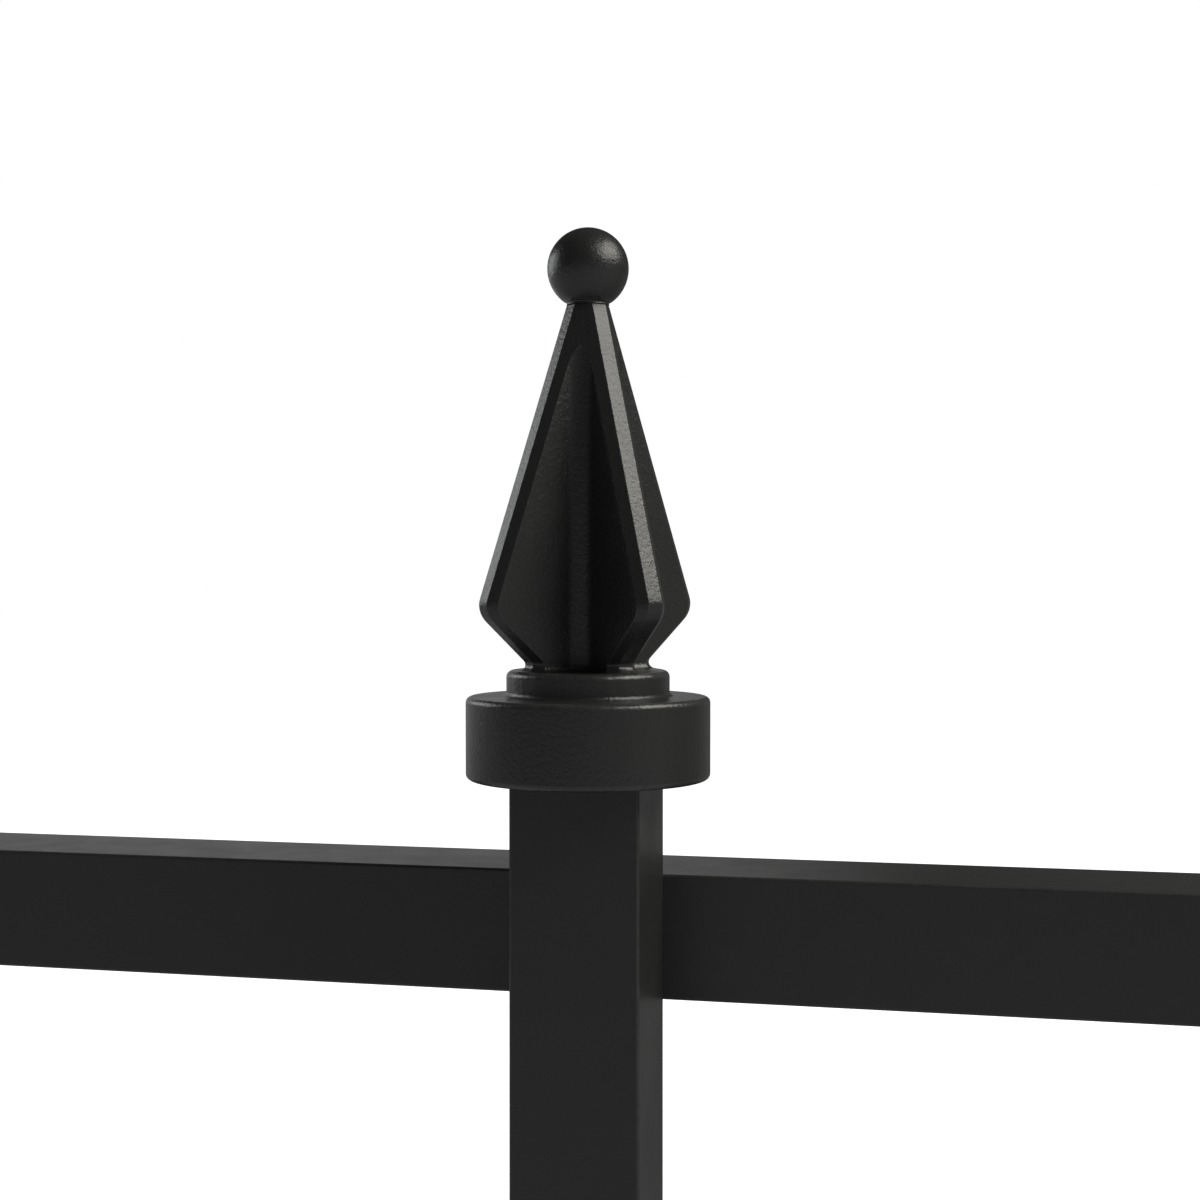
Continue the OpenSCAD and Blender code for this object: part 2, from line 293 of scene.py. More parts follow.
def tree_with_inputs(name, inputs):
    """A new Geometry Nodes tree with a geometry input and output, and the named inputs."""
    tree = bpy.data.node_groups.new(name, "GeometryNodeTree")
    tree.interface.new_socket("Geometry", in_out="INPUT", socket_type="NodeSocketGeometry")
    for label, kind in inputs:
        tree.interface.new_socket(label, in_out="INPUT", socket_type=kind)
    tree.interface.new_socket("Geometry", in_out="OUTPUT", socket_type="NodeSocketGeometry")
    return tree, tree.nodes.new("NodeGroupInput"), tree.nodes.new("NodeGroupOutput")


def sides_tree():
    """Turns one side of a piece round its axis as many times as it has sides, and welds the sides."""
    tree, given, made = tree_with_inputs("sides_round_axis", [
        ("Sides", "NodeSocketInt"), ("Weld", "NodeSocketFloat"), ("Material", "NodeSocketMaterial")])
    new, link = tree.nodes.new, tree.links.new
    row = new("GeometryNodeMeshLine")
    row.inputs["Offset"].default_value = (0, 0, 0)
    copies = new("GeometryNodeInstanceOnPoints")
    index = new("GeometryNodeInputIndex")
    share = new("ShaderNodeMath")
    share.operation = "DIVIDE"
    full_turn = new("ShaderNodeMath")
    full_turn.operation = "MULTIPLY"
    full_turn.inputs[1].default_value = 2 * math.pi
    turn = new("ShaderNodeCombineXYZ")
    real = new("GeometryNodeRealizeInstances")
    weld = new("GeometryNodeMergeByDistance")
    coat = new("GeometryNodeSetMaterial")
    link(given.outputs["Sides"], row.inputs["Count"])
    link(row.outputs["Mesh"], copies.inputs["Points"])
    link(given.outputs["Geometry"], copies.inputs["Instance"])
    link(index.outputs[0], share.inputs[0])
    link(given.outputs["Sides"], share.inputs[1])
    link(share.outputs[0], full_turn.inputs[0])
    link(full_turn.outputs[0], turn.inputs["Z"])
    link(turn.outputs[0], copies.inputs["Rotation"])
    link(copies.outputs[0], real.inputs[0])
    link(real.outputs[0], weld.inputs["Geometry"])
    link(given.outputs["Weld"], weld.inputs["Distance"])
    link(weld.outputs[0], coat.inputs["Geometry"])
    link(given.outputs["Material"], coat.inputs["Material"])
    link(coat.outputs[0], made.inputs[0])
    return tree


def run_tree(piece, tree, **values):
    """Runs a tree on a piece, with its inputs set by their identifiers, and keeps the plain mesh."""
    modifier = piece.modifiers.new(tree.name, "NODES")
    modifier.node_group = tree
    ids = socket_ids(tree)
    for label, value in values.items():
        modifier[ids[label]] = value
    return bake_modifiers(piece)


peel_depth = 0.012 * mm


def powder_coat(name, black, gloss, grain, sand_depth):
    """Black polyester powder coat: fine sandy grain, uneven gloss, and marked convex edges a little lighter
    and glossier, partly as rubbed wear and partly as a painted highlight line along the edges.
    """
    paint = bpy.data.materials.new(name)
    paint.use_nodes = True
    tree = paint.node_tree
    new, link = tree.nodes.new, tree.links.new
    shader = tree.nodes["Principled BSDF"]
    where = new("ShaderNodeTexCoord")

    def noise(size, detail, rough):
        texture = new("ShaderNodeTexNoise")
        texture.inputs["Scale"].default_value = 1 / size
        texture.inputs["Detail"].default_value = detail
        texture.inputs["Roughness"].default_value = rough
        link(where.outputs["Object"], texture.inputs["Vector"])
        return texture.outputs["Fac"]

    def spread(value, low, high, start=0.3, stop=0.7):
        node = new("ShaderNodeMapRange")
        node.inputs["From Min"].default_value = start
        node.inputs["From Max"].default_value = stop
        node.inputs["To Min"].default_value = low
        node.inputs["To Max"].default_value = high
        link(value, node.inputs["Value"])
        return node.outputs["Result"]

    def blend(share, one, other):
        node = new("ShaderNodeMix")
        node.data_type = "RGBA"
        node.inputs["A"].default_value = one
        node.inputs["B"].default_value = other
        link(share, node.inputs["Factor"])
        return node

    def maths(operation, one, other):
        node = new("ShaderNodeMath")
        node.operation = operation
        for socket, value in zip(node.inputs, (one, other)):
            if isinstance(value, float):
                socket.default_value = value
            else:
                link(value, socket)
        return node.outputs[0]

    def bump(height, depth, under=None):
        node = new("ShaderNodeBump")
        node.inputs["Strength"].default_value = 1
        node.inputs["Distance"].default_value = depth
        link(height, node.inputs["Height"])
        if under:
            link(under, node.inputs["Normal"])
        return node.outputs["Normal"]

    cloud = noise(9 * mm, 3, 0.55)
    pores = noise(0.16 * mm, 2, 0.6)
    sand = noise(grain, 3, 0.6)
    peel = noise(1.7 * mm, 2, 0.5)
    wear_and_highlight_input = new("ShaderNodeAttribute")
    wear_and_highlight_input.attribute_name = "edge_wear_and_highlight"
    wear_and_highlight_share = maths("MULTIPLY", wear_and_highlight_input.outputs["Fac"], spread(peel, 0.35, 1.0))
    coat = blend(spread(pores, 0, 1), (*[black * 0.8] * 3, 1), (*[black * 1.3] * 3, 1))
    # Marked edges get a lighter base colour: partly rubbed wear, partly a painted highlight along the edges.
    worn_and_highlit = blend(wear_and_highlight_share, (0, 0, 0, 1), (*[black * 2.4] * 3, 1))
    link(coat.outputs["Result"], worn_and_highlit.inputs["A"])
    link(worn_and_highlit.outputs["Result"], shader.inputs["Base Color"])
    uneven = maths("ADD", spread(cloud, gloss - 0.03, gloss + 0.03), spread(pores, -0.03, 0.05))
    link(maths("SUBTRACT", uneven, maths("MULTIPLY", wear_and_highlight_share, 0.10)), shader.inputs["Roughness"])
    link(bump(sand, sand_depth, bump(peel, peel_depth)), shader.inputs["Normal"])
    shader.inputs["Specular IOR Level"].default_value = 0.5
    return paint


tube_coat = powder_coat("tube_powder_coat", 0.024, 0.36, 0.42 * mm, 0.012 * mm)
side_by_side = sides_tree()


def square_tube(name, length, material):
    """A square tube standing on z = 0, with lightly rounded cut ends."""
    bore = tube_side - 2 * tube_wall
    ends = [(0, cut_edge), (0.3 * cut_edge, 0.3 * cut_edge), (cut_edge, 0), (cut_edge + 0.6 * mm, 0)]
    outside = [(z, inset) for z, inset in ends] + [(length - z, inset) for z, inset in reversed(ends)]
    rings = [square_quarter(tube_side - 2 * inset, tube_corner, z) for z, inset in outside]
    rings += [square_quarter(bore, 0.3 * mm, z) for z in (length, 0)]
    piece = skin(name, rings, loop=True)
    run_tree(piece, side_by_side, Sides=4, Weld=0.001 * mm, Material=material)
    return smooth(piece)


def round_bar(name, start, end, radius, segments=48):
    """A plain bar between two points, used to cut holes."""
    along = Vector(end) - Vector(start)
    rings = [round_ring(radius, z, segments) for z in (0, along.length)]
    bar = skin(name, [[(0, 0, 0)], *rings, [(0, 0, along.length)]], closed=True)
    bar.data.transform(Matrix.Translation(start) @ along.to_track_quat("Z", "Y").to_matrix().to_4x4())
    return smooth(bar)


def cut(piece, cutters):
    """Takes the cutters' shapes out of the piece."""
    for cutter in cutters:
        modifier = piece.modifiers.new(cutter.name, "BOOLEAN")
        modifier.operation = "DIFFERENCE"
        modifier.solver = "EXACT"
        modifier.object = cutter
    bake_modifiers(piece)
    for cutter in cutters:
        bpy.data.objects.remove(cutter)
    return smooth(piece)


def put(piece, node):
    """Shows the piece in place of its CAD node, which it hides, and hangs the piece under the root body."""
    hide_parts(node)
    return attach(piece, "root")


screw_low, screw_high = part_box("rail_screws")
washer_low, washer_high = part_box("rail_washers")
rail_low, rail_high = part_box("rail_tube")
washer_width = washer_high.x - washer_low.x
screw_pitch = washer_high.z - washer_low.z - washer_width
rail_middle = (rail_low + rail_high) / 2
screw_heights = [rail_middle.z - screw_pitch / 2, rail_middle.z + screw_pitch / 2]

post = square_tube("post_square_tube", post_high.z - post_low.z, tube_coat)
post.data.transform(Matrix.Translation((0, 0, post_low.z)))
nut_hole = 3.5 * mm
cut(post, [round_bar(f"nut_hole_{i}", (0, post_high.y - 3 * mm, z), (0, post_high.y + 3 * mm, z), nut_hole)
           for i, z in enumerate(screw_heights)])
put(even_normals(mark_edge_wear_and_highlight(post)), "post_tube")

# ---- Tube inserts ----
# Moulded nylon plugs with gripping fins, pushed into both ends of the post. Each holds a brass bush with an
# M8 thread: the upper one takes the finial's stud, the lower one fixes the post to what it stands on.


def plain_finish(name, colour, roughness, metallic, mottle, grain, depth):
    """A bare moulded or metal finish with fine grain and uneven gloss."""
    finish = bpy.data.materials.new(name)
    finish.use_nodes = True
    tree = finish.node_tree
    new, link = tree.nodes.new, tree.links.new
    shader = tree.nodes["Principled BSDF"]
    where = new("ShaderNodeTexCoord")
    texture = new("ShaderNodeTexNoise")
    texture.inputs["Scale"].default_value = 1 / grain
    texture.inputs["Detail"].default_value = 4
    link(where.outputs["Object"], texture.inputs["Vector"])
    tone = new("ShaderNodeMix")
    tone.data_type = "RGBA"
    tone.inputs["A"].default_value = (*[c * (1 - mottle) for c in colour], 1)
    tone.inputs["B"].default_value = (*[min(1, c * (1 + mottle)) for c in colour], 1)
    link(texture.outputs["Fac"], tone.inputs["Factor"])
    link(tone.outputs["Result"], shader.inputs["Base Color"])
    gloss = new("ShaderNodeMapRange")
    gloss.inputs["To Min"].default_value = roughness - 0.08
    gloss.inputs["To Max"].default_value = roughness + 0.08
    link(texture.outputs["Fac"], gloss.inputs["Value"])
    link(gloss.outputs["Result"], shader.inputs["Roughness"])
    bump = new("ShaderNodeBump")
    bump.inputs["Distance"].default_value = depth
    link(texture.outputs["Fac"], bump.inputs["Height"])
    link(bump.outputs["Normal"], shader.inputs["Normal"])
    shader.inputs["Metallic"].default_value = metallic
    return finish


nylon = plain_finish("black_nylon", (0.018, 0.018, 0.019), 0.5, 0, 0.25, 0.5 * mm, 0.01 * mm)
brass = plain_finish("turned_brass", (0.72, 0.52, 0.24), 0.3, 1, 0.12, 0.8 * mm, 0.004 * mm)

insert_low, insert_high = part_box("foot_insert")
bush_low, bush_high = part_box("foot_bush")
insert_flange = 3 * mm
insert_body = tube_side - 2 * tube_wall - 1.6 * mm
insert_bore = tube_side - 2 * tube_wall
insert_fins = 4
rib_thickness = 1.4 * mm
bush_radius = (bush_high.x - bush_low.x) / 2
stud_clearance = 4.3 * mm
moulded_edge = 0.5 * mm


def ribbed_insert(name):
    """Flange, finned body and stepped bore of a tube insert, flange face down at z = 0."""
    depth = insert_high.z - insert_low.z
    flange = [square_quarter(tube_side - 2 * inset, tube_corner, z) for z, inset in (
        (0, moulded_edge), (0.15 * mm, 0.15 * mm), (moulded_edge, 0), (insert_flange - 0.2 * mm, 0),
        (insert_flange, 0.2 * mm))]
    body = [square_quarter(insert_body, 1 * mm, insert_flange)]
    for fin in range(1, insert_fins + 1):
        z = insert_flange + fin * (depth - insert_flange) / (insert_fins + 1)
        body += [square_quarter(side, 0.8 * mm, height) for side, height in (
            (insert_body, z), (insert_bore, z + 0.3 * mm), (insert_bore, z + rib_thickness - 0.3 * mm),
            (insert_body, z + rib_thickness))]
    body.append(square_quarter(insert_body, 1 * mm, depth))
    like = flange[0]
    bush_depth = bush_high.z - bush_low.z
    bore = [circle_quarter(radius, z, like) for radius, z in (
        (stud_clearance, depth), (stud_clearance, bush_depth), (bush_radius, bush_depth), (bush_radius, 0))]
    piece = skin(name, flange + body + bore, loop=True)
    run_tree(piece, side_by_side, Sides=4, Weld=0.001 * mm, Material=nylon)
    return smooth(piece)


def thread_bush(name):
    """A brass bush whose bore carries a real M8 thread."""
    length = bush_high.z - bush_low.z
    pitch, crest, root = 1.25 * mm, 3.35 * mm, 3.95 * mm
    segments, steps = 48, 12
    turns = [2 * math.pi * i / segments for i in range(segments)]
    rows = int(length / pitch * steps)

    def thread_radius(z, a):
        phase = (z / pitch - a / (2 * math.pi)) % 1
        return crest + (root - crest) * abs(2 * phase - 1)

    bore = []
    for i in range(rows + 1):
        z = length * i / rows
        mouth = max(0, 1 - min(z, length - z) / (0.6 * mm))
        bore.append([(r * math.cos(a), r * math.sin(a), z) for a in turns
                     for r in [thread_radius(z, a) * (1 - mouth) + root * mouth]])
    chamfer = 0.3 * mm
    outside = [round_ring(radius, z, segments) for radius, z in (
        (bush_radius - chamfer, length), (bush_radius, length - chamfer),
        (bush_radius, chamfer), (bush_radius - chamfer, 0))]
    piece = skin(name, bore + outside, loop=True, closed=True)
    piece.data.materials.append(brass)
    return smooth(piece, 30)


post_end_down = Matrix.Translation((0, 0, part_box("top_insert")[1].z)) @ Matrix.Rotation(math.pi, 4, "X")
for place, turn in (("foot", Matrix.Identity(4)), ("top", post_end_down)):
    insert = ribbed_insert(f"{place}_ribbed_insert")
    insert.data.transform(turn)
    put(even_normals(insert), f"{place}_insert")
    bush = thread_bush(f"{place}_threaded_bush")
    bush.data.transform(turn)
    put(bush, f"{place}_bush")

# ---- Rail tube ----
# The same square tube laid behind the post, with its front face against the post's back.
# Clearance holes for the two screws go through its rear wall, wider ones through its front wall.
along_x = Matrix.Rotation(math.pi / 2, 4, "Y")
rail = square_tube("rail_square_tube", rail_high.x - rail_low.x, tube_coat)
rail.data.transform(Matrix.Translation((rail_low.x, rail_middle.y, rail_middle.z)) @ along_x)
screw_hole = 2.75 * mm
sleeve_hole = 5.2 * mm
rail_holes = []
for i, z in enumerate(screw_heights):
    rear = ((0, rail_high.y - 3 * mm, z), (0, rail_high.y + mm, z))
    front = ((0, rail_low.y - mm, z), (0, rail_low.y + 3 * mm, z))
    rail_holes.append(round_bar(f"rear_hole_{i}", *rear, screw_hole))
    rail_holes.append(round_bar(f"front_hole_{i}", *front, sleeve_hole))
cut(rail, rail_holes)
put(even_normals(mark_edge_wear_and_highlight(rail)), "rail_tube")

# ---- Rail end caps ----
# Moulded nylon caps pushed into the rail's ends, with a softly domed flange over the cut edge
# and two gripping fins on a hollow body.
cap_low, cap_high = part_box("rail_cap_right")
cap_flange = cap_high.x - rail_high.x
cap_depth = rail_high.x - cap_low.x


def end_cap(name):
    """A cap with its flange above z = 0 and its hollow body below."""
    flange_edge = 0.7 * mm
    dome = [[(0, 0, cap_flange)]]
    dome += [square_quarter(tube_side * share, tube_corner, cap_flange) for share in (0.3, 0.6)]
    dome += [square_quarter(tube_side - 2 * inset, tube_corner, cap_flange - drop) for inset, drop in (
        (1.6 * mm, 0.06 * mm), (flange_edge, 0.2 * mm), (0.2 * mm, 0.5 * mm), (0, 0.9 * mm))]
    under = [square_quarter(tube_side, tube_corner, 0)]
    body = [square_quarter(insert_body, 1 * mm, 0)]
    for fin in (2, 1):
        z = -cap_depth + fin * cap_depth / 3
        body += [square_quarter(side, 0.8 * mm, height) for side, height in (
            (insert_body, z + 0.4 * mm), (insert_bore, z + 0.1 * mm), (insert_bore, z - 0.7 * mm),
            (insert_body, z - mm))]
    body.append(square_quarter(insert_body, 1 * mm, -cap_depth))
    hollow = [square_quarter(insert_body - 4 * mm, 0.8 * mm, z) for z in (-cap_depth, 0)]
    piece = skin(name, dome + under + body + hollow + [[(0, 0, 0)]])
    run_tree(piece, side_by_side, Sides=4, Weld=0.001 * mm, Material=nylon)
    return smooth(piece)


for side, end_x, turn in (("left", rail_low.x, -math.pi / 2), ("right", rail_high.x, math.pi / 2)):
    cap = end_cap(f"{side}_end_cap")
    outwards = Matrix.Rotation(turn, 4, "Y")
    cap.data.transform(Matrix.Translation((end_x, rail_middle.y, rail_middle.z)) @ outwards)
    put(even_normals(cap), f"rail_cap_{side}")

# ---- Rail fasteners ----
# Two M5 button head screws go through the rail from behind, each with a washer, into rivet nuts in the
# post's rear wall. Steel sleeves inside the rail keep its walls from being crushed.
black_zinc = plain_finish("black_zinc", (0.05, 0.05, 0.052), 0.32, 1, 0.2, 0.6 * mm, 0.005 * mm)
bright_zinc = plain_finish("bright_zinc", (0.62, 0.63, 0.65), 0.34, 1, 0.08, 1.2 * mm, 0.004 * mm)


def fillet(path, steps=6):
    """An outline with its corners rounded: each point is (x, y, radius)."""
    outline = []
    for i, (x, y, radius) in enumerate(path):
        corner = Vector((x, y))
        if not radius or i in (0, len(path) - 1):
            outline.append(corner)
            continue
        back = (Vector(path[i - 1][:2]) - corner).normalized()
        ahead = (Vector(path[i + 1][:2]) - corner).normalized()
        half = back.angle(ahead) / 2
        centre = corner + (back + ahead).normalized() * radius / math.sin(half)
        start = corner + back * radius / math.tan(half) - centre
        stop = corner + ahead * radius / math.tan(half) - centre
        outline += [centre + start.slerp(stop, k / steps) * radius for k in range(steps + 1)]
    return outline


def turned(name, outline, material, segments=96, loop=False, sharp_over=40):
    """A turned piece: the outline's (radius, height) points swept round the Z axis."""
    pole = 1e-9
    rings = [round_ring(r, z, segments) if r > pole else [(0, 0, z)] for r, z in outline]
    piece = skin(name, rings, loop=loop, closed=True)
    piece.data.materials.append(material)
    return smooth(piece, sharp_over)


def hexagon(across, height, segments):
    """Points of a hexagon as seen at equal angles, to meet a round ring of as many points."""
    points = []
    for i in range(segments):
        a = 2 * math.pi * i / segments
        from_flat = (a % (math.pi / 3)) - math.pi / 6
        radius = across / 2 / math.cos(from_flat)
        points.append((radius * math.cos(a), radius * math.sin(a), height))
    return points


def socket_screw(name, crown, across, socket_depth, shank, material, segments=48):
    """A screw with a hexagon socket: crown is the head's outline from the socket's rim outwards and down."""
    rim = crown[0][1]
    rings = [[(0, 0, rim - socket_depth - 0.25 * mm)]]
    rings += [hexagon(width, z, segments) for width, z in (
        (across * 0.9, rim - socket_depth), (across, rim - socket_depth + 0.1 * mm),
        (across, rim - 0.15 * mm), (across + 0.3 * mm, rim))]
    rings += [round_ring(r, z, segments) for r, z in crown + shank]
    rings.append([(0, 0, shank[-1][1])])
    piece = skin(name, rings, closed=True)
    piece.data.materials.append(material)
    return smooth(piece, 35)


def row_tree():
    """Repeats a piece in a straight row that is centred on the piece."""
    tree, given, made = tree_with_inputs("row_of_pieces", [
        ("Count", "NodeSocketInt"), ("Pitch", "NodeSocketFloat"), ("Material", "NodeSocketMaterial")])
    new, link = tree.nodes.new, tree.links.new
    step = new("ShaderNodeCombineXYZ")
    last = new("ShaderNodeMath")
    last.operation = "SUBTRACT"
    last.inputs[1].default_value = 1
    half_pitch = new("ShaderNodeMath")
    half_pitch.operation = "MULTIPLY"
    half_pitch.inputs[1].default_value = -0.5
    start_height = new("ShaderNodeMath")
    start_height.operation = "MULTIPLY"
    start = new("ShaderNodeCombineXYZ")
    row = new("GeometryNodeMeshLine")
    copies = new("GeometryNodeInstanceOnPoints")
    real = new("GeometryNodeRealizeInstances")
    coat = new("GeometryNodeSetMaterial")
    link(given.outputs["Pitch"], step.inputs["Z"])
    link(given.outputs["Count"], last.inputs[0])
    link(given.outputs["Pitch"], half_pitch.inputs[0])
    link(last.outputs[0], start_height.inputs[0])
    link(half_pitch.outputs[0], start_height.inputs[1])
    link(start_height.outputs[0], start.inputs["Z"])
    link(given.outputs["Count"], row.inputs["Count"])
    link(start.outputs[0], row.inputs["Start Location"])
    link(step.outputs[0], row.inputs["Offset"])
    link(row.outputs["Mesh"], copies.inputs["Points"])
    link(given.outputs["Geometry"], copies.inputs["Instance"])
    link(copies.outputs[0], real.inputs[0])
    link(real.outputs[0], coat.inputs["Geometry"])
    link(given.outputs["Material"], coat.inputs["Material"])
    link(coat.outputs[0], made.inputs[0])
    return tree


in_a_row = row_tree()
backwards = Matrix.Rotation(-math.pi / 2, 4, "X")


def fasten(piece, material, seat_y, node):
    """Turns a fastener to point backwards, repeats it up the rail and shows it for its CAD node."""
    piece.data.transform(backwards)
    run_tree(piece, in_a_row, Count=2, Pitch=screw_pitch, Material=material)
    piece.data.transform(Matrix.Translation((0, seat_y, rail_middle.z)))
    put(smooth(piece, 35), node)


head_height = screw_high.y - washer_high.y
head_radius = (screw_high.x - screw_low.x) / 2
shank_length = washer_high.y - screw_low.y
head_dome = [(2.35 * mm, head_height), (3.1 * mm, head_height - 0.22 * mm),
             (3.8 * mm, head_height - 0.72 * mm), (4.35 * mm, head_height - 1.4 * mm),
             (4.65 * mm, head_height - 2.1 * mm),
             (head_radius, 0.25 * mm), (head_radius - 0.1 * mm, 0.05 * mm), (head_radius - 0.25 * mm, 0)]
shank = [(2.5 * mm, 0), (2.5 * mm, -24 * mm), (2.24 * mm, -24.3 * mm), (2.24 * mm, -shank_length + 0.5 * mm),
         (1.8 * mm, -shank_length)]
screw = socket_screw("button_head_screws", head_dome, 3 * mm, 1.8 * mm, shank, black_zinc)
fasten(screw, black_zinc, washer_high.y, "rail_screws")

washer_thickness = washer_high.y - washer_low.y
washer_bore = 2.75 * mm
washer_radius = washer_width / 2
washer_ring = [(washer_bore, 0), (washer_radius - 0.1 * mm, 0), (washer_radius, 0.1 * mm),
               (washer_radius, washer_thickness - 0.15 * mm),
               (washer_radius - 0.15 * mm, washer_thickness), (washer_bore, washer_thickness)]
washer = turned("flat_washers", washer_ring, black_zinc, 64, loop=True)
fasten(washer, black_zinc, washer_low.y, "rail_washers")

for node in ("crush_sleeves", "rivet_nuts", "finial_stud", "ball_stud"):
    nodes[node].data.materials.clear()
    nodes[node].data.materials.append(bright_zinc)

# ---- Collar ----
# A round iron collar that caps the post: a square socket below slips over the tube, the finial's stud
# passes through its top, and two grub screws at the rear and left lock it. Coated with the finial.
cast_coat = powder_coat("cast_powder_coat", 0.025, 0.31, 0.8 * mm, 0.12 * mm)
collar_radius = (collar_high.x - collar_low.x) / 2
collar_height = collar_high.z - collar_low.z
collar_edge = 1.2 * mm
socket_side = tube_side + 0.3 * mm
socket_depth = 12 * mm
grub_radius = 2.24 * mm
grub_low, grub_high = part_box("collar_set_screws")
grub_height = (grub_low.z + grub_high.z) / 2

collar_outline = fillet([
    (stud_clearance, 0, 0), (collar_radius, 0, collar_edge), (collar_radius, collar_height, collar_edge),
    (stud_clearance, collar_height, 0)], 8)
collar = turned("round_post_collar", collar_outline, cast_coat, 160, loop=True)
collar.data.transform(Matrix.Translation((0, 0, collar_low.z)))
socket_rings = [square_quarter(socket_side, 0.4 * mm, z) for z in (-5 * mm, socket_depth)]
socket_block = skin("socket_block", [[(0, 0, -5 * mm)], *socket_rings, [(0, 0, socket_depth)]])
run_tree(socket_block, side_by_side, Sides=4, Weld=0.001 * mm, Material=cast_coat)
smooth(socket_block).data.transform(Matrix.Translation((0, 0, collar_low.z)))
grub_holes = []
for i, out in enumerate((Vector((0, 1, 0)), Vector((-1, 0, 0)))):
    middle = Vector((0, 0, grub_height))
    ends = (middle + out * 10 * mm, middle + out * 26 * mm)
    grub_holes.append(round_bar(f"grub_hole_{i}", *ends, grub_radius))
cut(collar, [socket_block, *grub_holes])
put(even_normals(mark_edge_wear_and_highlight(collar)), "post_collar")

grub_length = grub_high.y - tube_side / 2
grub_crown = [(grub_radius - 0.25 * mm, grub_length), (grub_radius, grub_length - 0.25 * mm)]
grub_foot = [(grub_radius, 0.8 * mm), (grub_radius - 0.8 * mm, 0)]
grubs = []
for i, turn in enumerate((0, math.pi / 2)):
    grub = socket_screw(f"grub_{i}", grub_crown, 2.5 * mm, 2.5 * mm, grub_foot, black_zinc)
    seat = Matrix.Translation((0, tube_side / 2, grub_height))
    grub.data.transform(Matrix.Rotation(turn, 4, "Z") @ seat @ backwards)
    grubs.append(grub)
pair = bmesh.new()
for grub in grubs:
    pair.from_mesh(grub.data)
pair.to_mesh(grubs[0].data)
pair.free()
bpy.data.objects.remove(grubs[1])
grubs[0].name = "collar_grub_screws"
put(smooth(grubs[0], 35), "collar_set_screws")

# ---- Spire ----
# One casting: four fins stand on the diagonals, each cut to the outline of an obelisk with a flat along
# its edge, and they meet in round-bottomed grooves over a round plinth. Tapped for its studs, coated black.
spire_low, spire_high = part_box("spire")
plinth_radius = 16 * mm
plinth_height = 5.1 * mm
plinth_edge = 1.3 * mm
plinth_cove = 1.0 * mm
spire_height = spire_high.z - spire_low.z - plinth_height
elbow_height = 11.65 * mm
foot_half = 9.19 * mm
elbow_half = 18.15 * mm
top_half = 3.86 * mm
elbow_round = 5.4 * mm
foot_cove = 1.3 * mm
corner_flat = 3.08 * mm
spire_fin = 6.25 * mm
groove_round = 3.6 * mm
root_cove = 1.5 * mm
crease_round = 0.45 * mm
corner_round = 0.35 * mm
thread_radius_m8 = 3.6 * mm
thread_radius_m4 = 1.78 * mm
stud_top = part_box("finial_stud")[1].z - spire_low.z + mm
ball_stud_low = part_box("ball_stud")[0].z - spire_low.z - mm

corner_cut = corner_flat / math.sqrt(2)
groove_depth = spire_fin / math.sqrt(2)


def spaced(outline, longest):
    """The outline with extra points, so that no stretch is longer than the given length."""
    dense = [outline[0]]
    for a, b in zip(outline, outline[1:]):
        parts = max(1, math.ceil((b - a).length / longest))
        dense += [a.lerp(b, k / parts) for k in range(1, parts + 1)]
    return dense


def groove_wall(across, depth):
    """Height of the groove's wall above the axis: a round bottom, then straight at 45 degrees."""
    if across < groove_round / math.sqrt(2):
        return depth + math.sqrt(2) * groove_round - math.sqrt(groove_round ** 2 - across ** 2)
    return across + depth


def half_face(face, depth):
    """Half of one side's section, from the middle of the groove to the middle of the corner flat."""
    bottom_centre = Vector((0, depth + math.sqrt(2) * groove_round))
    bottom_end = groove_round / math.sqrt(2)
    centre = Vector((face - depth + (math.sqrt(2) - 1) * crease_round, face - crease_round))
    to_wall = Vector((-1, 1)).normalized()
    if centre.x + to_wall.x * crease_round < bottom_end:
        reach = (groove_round + crease_round) ** 2 - (bottom_centre.y - centre.y) ** 2
        centre.x = math.sqrt(max(reach, 0))
        to_wall = (bottom_centre - centre).normalized() if reach > 0 else Vector((0, 1))
    start = centre + to_wall * crease_round
    split = min(bottom_end, start.x / 2)
    across = [split * k / 7 for k in range(7)]
    across += [split + (start.x - split) * k / 9 for k in range(9)]
    points = [Vector((x, min(groove_wall(x, depth), face))) for x in across]
    points += [centre + crease_round * to_wall.slerp(Vector((0, 1)), k / 5) for k in range(6)]
    edge = face - corner_cut - corner_round * math.tan(math.radians(22.5))
    points.append(points[-1].lerp(Vector((edge, face)), 0.5))
    points += [Vector(p) for p in arc((edge, face - corner_round), corner_round, 90, 45, 4)]
    middle = face - corner_cut / 2
    points += [points[-1].lerp(Vector((middle, middle)), 0.5), Vector((middle, middle))]
    return points


def face_section(face, height):
    """One side's whole section, seen from above, on the -Y side of the axis."""
    above = min(height - plinth_height, root_cove)
    root = root_cove - math.sqrt(root_cove ** 2 - (root_cove - above) ** 2)
    right = half_face(face, groove_depth + root)
    left = [Vector((-p.x, p.y)) for p in reversed(right[1:])]
    return [(p.x, -p.y, height) for p in left + right]


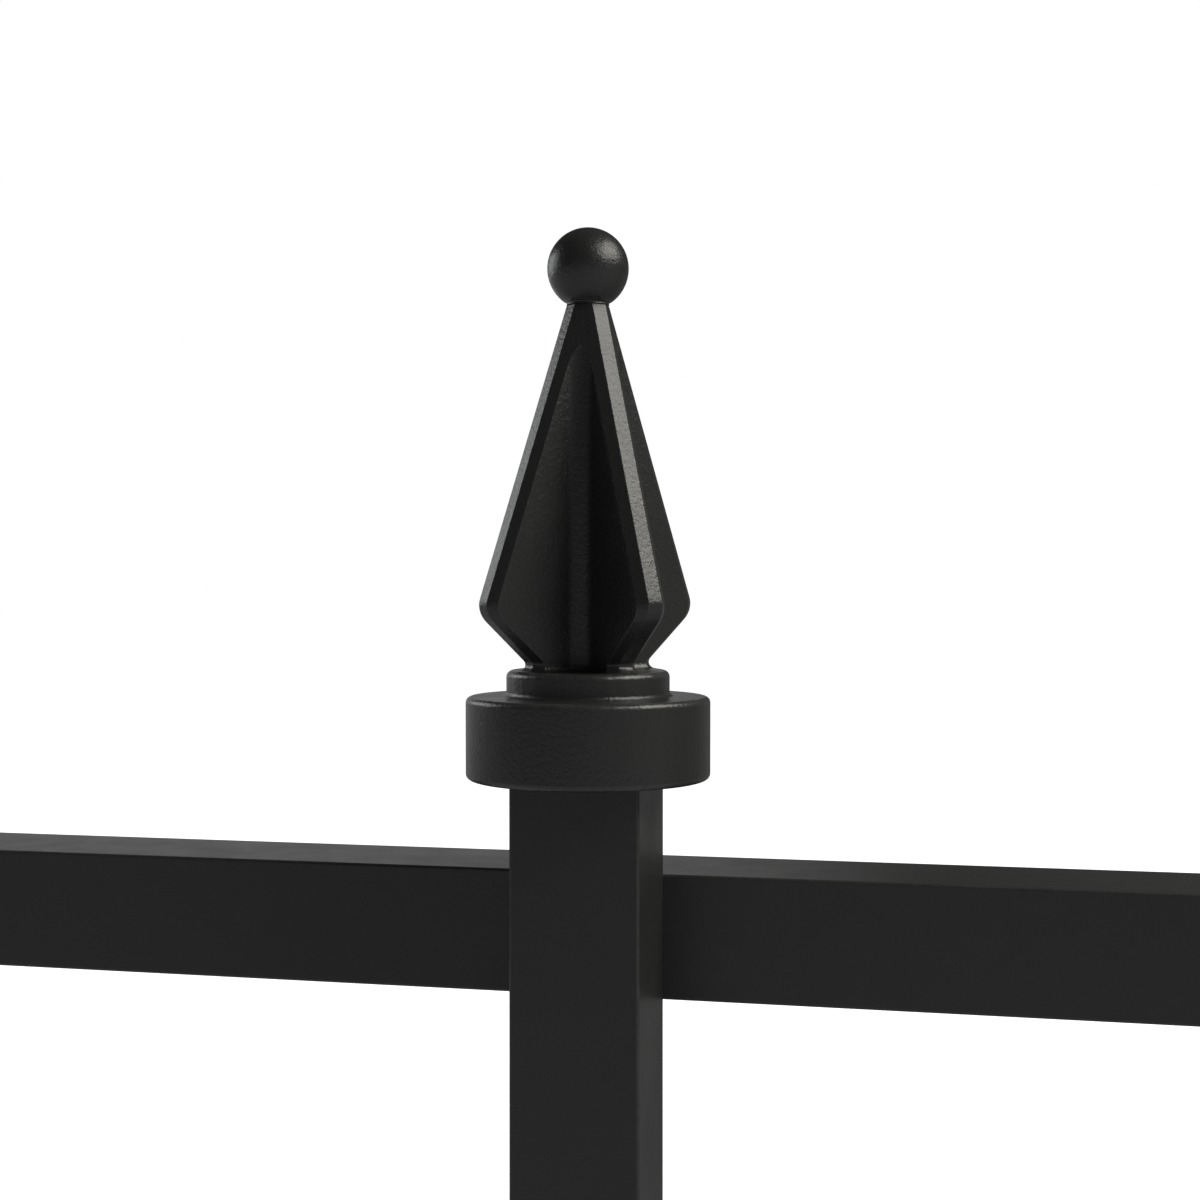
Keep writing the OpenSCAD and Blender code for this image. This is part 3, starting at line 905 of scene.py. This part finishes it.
spire_outline = fillet([
    (20 * mm, plinth_height, 0), (foot_half, plinth_height, foot_cove),
    (elbow_half, plinth_height + elbow_height, elbow_round),
    (top_half, plinth_height + spire_height, 0.25 * mm),
    (thread_radius_m4, plinth_height + spire_height, 0)], 9)
spire_outline = spaced(spire_outline[1:-1], 0.8 * mm)
side_rings = [face_section(face, height) for face, height in spire_outline]
round_top = [circle_quarter(r, z, side_rings[-1]) for r, z in (
    (thread_radius_m4, plinth_height + spire_height), (thread_radius_m4, ball_stud_low))]
plinth_outline = fillet([
    (plinth_radius - 2 * plinth_edge, plinth_height, 0), (plinth_radius, plinth_height, plinth_edge),
    (plinth_radius, 0, plinth_cove), (plinth_radius + 2 * plinth_cove, 0, 0)], 7)[:-1]
plinth_rings = [circle_quarter(r, z, side_rings[0]) for r, z in reversed(plinth_outline)]
stud_hole = [circle_quarter(thread_radius_m8, z, side_rings[0]) for z in (stud_top, 0)]
spire_rings = [*stud_hole, *plinth_rings, *side_rings, *round_top]
spire = skin("finned_obelisk_spire", [[(0, 0, stud_top)], *spire_rings, [(0, 0, ball_stud_low)]])
run_tree(spire, side_by_side, Sides=4, Weld=0.001 * mm, Material=cast_coat)
spire.data.transform(Matrix.Translation((0, 0, spire_low.z)))
smooth(spire, 50)
put(even_normals(mark_edge_wear_and_highlight(spire)), "spire")

# ---- Ball ----
# A turned ball with a short flared neck, screwed on the spire's flat top by a grub and coated with it.
ball_low, ball_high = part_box("ball_tip")
ball_radius = 7.97 * mm
ball_middle = ball_high.z - ball_low.z - ball_radius
neck_radius = 4.2 * mm
neck_waist = 4.12 * mm
start_angle = math.degrees(math.asin((neck_waist + 0.55 * mm) / ball_radius))
ball_side = [(ball_radius * math.sin(a), ball_middle - ball_radius * math.cos(a))
             for a in (math.radians(start_angle + (180 - start_angle) * k / 60) for k in range(61))]
ball_side[-1] = (0, ball_middle + ball_radius)
stud_hole_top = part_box("ball_stud")[1].z - ball_low.z + 0.5 * mm
neck = [(0, stud_hole_top), (thread_radius_m4, stud_hole_top), (thread_radius_m4, 0),
        (neck_radius - 0.08 * mm, 0), (neck_radius, 0.08 * mm), (neck_waist + 0.04 * mm, 0.2 * mm),
        (neck_waist, 0.34 * mm), (neck_waist + 0.08 * mm, 0.48 * mm), (neck_waist + 0.28 * mm, 0.6 * mm)]
ball = turned("turned_ball_tip", neck + ball_side, cast_coat, 96, sharp_over=60)
ball.data.transform(Matrix.Translation((0, 0, ball_low.z)))
put(mark_edge_wear_and_highlight(ball), "ball_tip")
